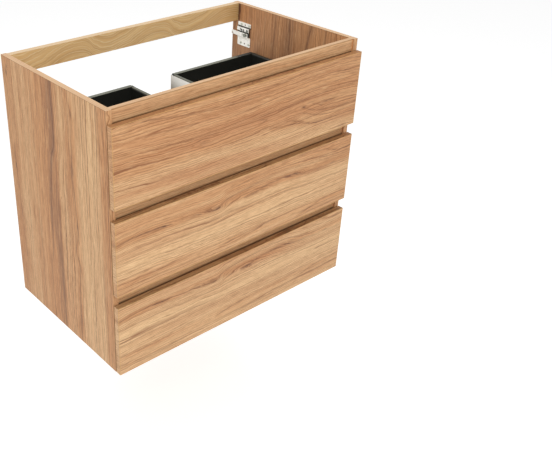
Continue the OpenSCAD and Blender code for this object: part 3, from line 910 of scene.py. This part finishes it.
def hanger_steel(node):
    """Nickel-plated steel, with painted shade in the recess behind the guide and the carriage."""
    net = material_net(node + "_steel")
    low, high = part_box(node)
    x, y, z = net.axes("Object")
    deep = high[X] - x if high[X] > 0 else x - low[X]
    # painted shade in the recess behind the guide and the carriage
    recess = net.ramp(deep, 0.0033, 0.0027) * net.ramp(high[Z] - z, 0.010, 0.012)
    recess = recess * net.ramp(z - low[Z], RECESS_FOOT - 0.001, RECESS_FOOT + 0.001)
    fine, finest, coarse = SCRATCHES
    scratch = net.noise(x * fine, y * finest, z * coarse, detail=3.0)
    colour = net.mix(NICKEL_LIGHT, NICKEL_DARK, patches(net, (x, y, z), NICKEL_PATCHES))
    colour = net.mix(colour, RECESS_SHADE, recess)
    if node.startswith("hanger_plate"):
        colour = plate_marks(net, colour, y - low[Y], z - low[Z], deep)
    return net.finish(
        Base_Color=colour, Metallic=0.5, Roughness=speckled(net, scratch, 0.35, 0.14),
        Normal=net.bump(scratch, 0.0001, 0.3), Coat_Weight=1.0, Coat_Roughness=0.2)


def finishes_by_slot():
    """Finishes that several pieces share, by their material slot."""
    return {
        "anthracite_steel": coated_steel("coated_steel", SIDE_RIM_SHEEN),
        "base_board": plain("base_board", BASE_BOARD, 0.6),
        "galvanised_steel": plain("galvanised_steel", ZINC, 0.38, metallic=1.0),
        "screw_steel": plain("screw_steel", SCREW_STEEL, 0.34, metallic=0.5),
        "cap_plastic": plain("cap_plastic", CAP_BLACK, 0.55),
        "beech": plain("beech", BEECH, 0.7),
    }


def finishes_by_name():
    """Finishes that several pieces share and their slot doesn't tell, by the start of their names."""
    adjuster = plain("adjusting_screw_steel", ADJUSTER_STEEL, 0.34, metallic=0.5)
    return {
        "steel_back": coated_steel("coated_steel_back", BACK_RIM_SHEEN, BACK_SHEEN_REACH),
        "height_screw": adjuster,
        "depth_screw": adjuster,
    }


def finish_of(node, slot, by_name, by_slot):
    """The finish of one node: its own, one that is shared, or wood."""
    if node.startswith("cutout_wall"):
        return lined_steel(node)
    if node.startswith("hanger_carriage"):
        return carriage_steel(node)
    if node.startswith(("hanger_plate_left", "hanger_plate_right", "hanger_hook")):
        return hanger_steel(node)
    for start, finish in by_name.items():
        if node.startswith(start):
            return finish
    return by_slot.get(slot) or wood_of(node)


def dress():
    """Gives every CAD node its finish."""
    by_name = finishes_by_name()
    by_slot = finishes_by_slot()
    slots = {entry["node"]: entry["material_slot"] for entry in frame["record"]["subparts"]}
    for node, piece in frame["nodes"].items():
        piece.data.materials.clear()
        piece.data.materials.append(finish_of(node, slots[node], by_name, by_slot))


# ---- Studio ----

def placed(name, data):
    """A new object in the scene, for a camera or a lamp."""
    thing = bpy.data.objects.new(name, data)
    bpy.context.scene.collection.objects.link(thing)
    return thing


def camera():
    """Looks at the cabinet from its front left, from above."""
    turn, tilt, roll = (math.radians(angle) for angle in (TURN_DEG, TILT_DEG, ROLL_DEG))
    made = bpy.data.cameras.new("camera")
    made.lens = LENS_MM
    made.sensor_width = SENSOR_MM
    made.sensor_fit = "HORIZONTAL"
    made.shift_x, made.shift_y = SHIFT
    made.clip_end = VIEW_REACH
    thing = placed("camera", made)
    place = Matrix.Translation(EYE) @ Matrix.Rotation(turn, 4, "Z")
    thing.matrix_world = place @ Matrix.Rotation(math.pi / 2 - tilt, 4, "X") @ Matrix.Rotation(roll, 4, "Z")
    bpy.context.scene.camera = thing


def seen(net):
    """1 for camera, glossy and transmission rays, else 0."""
    path = net.node("LightPath")
    kinds = ("Is Camera Ray", "Is Glossy Ray", "Is Transmission Ray")
    return highest([Value(net, path.outputs[kind]) for kind in kinds])


def floor():
    """A matt floor that is lifted to white where it is seen, and keeps the cabinet's shadow."""
    net = material_net("floor_white")
    matt = net.node("BsdfDiffuse", {"Color": (FLOOR_WHITE, FLOOR_WHITE, FLOOR_WHITE, 1.0)})
    glow = net.node("Emission", {"Color": WHITE, "Strength": seen(net) * FLOOR_LIFT})
    both = net.node("AddShader", {0: matt.outputs[0], 1: glow.outputs[0]})
    bpy.ops.mesh.primitive_plane_add(size=FLOOR_SIZE, location=(0, 0, cad_box[0][2] - FLOOR_DROP))
    plane = bpy.context.object
    plane.name = "floor"
    plane.data.materials.append(net.end("Material", both))


def world():
    """A white background that lights the cabinet more softly than it looks."""
    net = Net(bpy.data.worlds.new("studio"))
    strength = net.node("MapRange", {"Value": seen(net), "To Min": ROOM_LIGHT, "To Max": 1.0})
    back = net.node("Background", {"Color": WHITE, "Strength": strength.outputs[0]})
    bpy.context.scene.world = net.end("World", back)


def softbox(name, place, size, power):
    """A rectangular area lamp aimed at the cabinet."""
    lamp = bpy.data.lights.new(name, "AREA")
    lamp.shape = "RECTANGLE"
    lamp.size, lamp.size_y = size
    lamp.energy = power
    thing = placed(name, lamp)
    thing.location = place
    thing.rotation_euler = (Vector(LAMP_AIM) - Vector(place)).to_track_quat("-Z", "Y").to_euler()


def studio():
    world()
    floor()
    for lamp in LAMPS:
        softbox(*lamp)
    bpy.context.scene.view_settings.view_transform = "Standard"


dress()
studio()
camera()
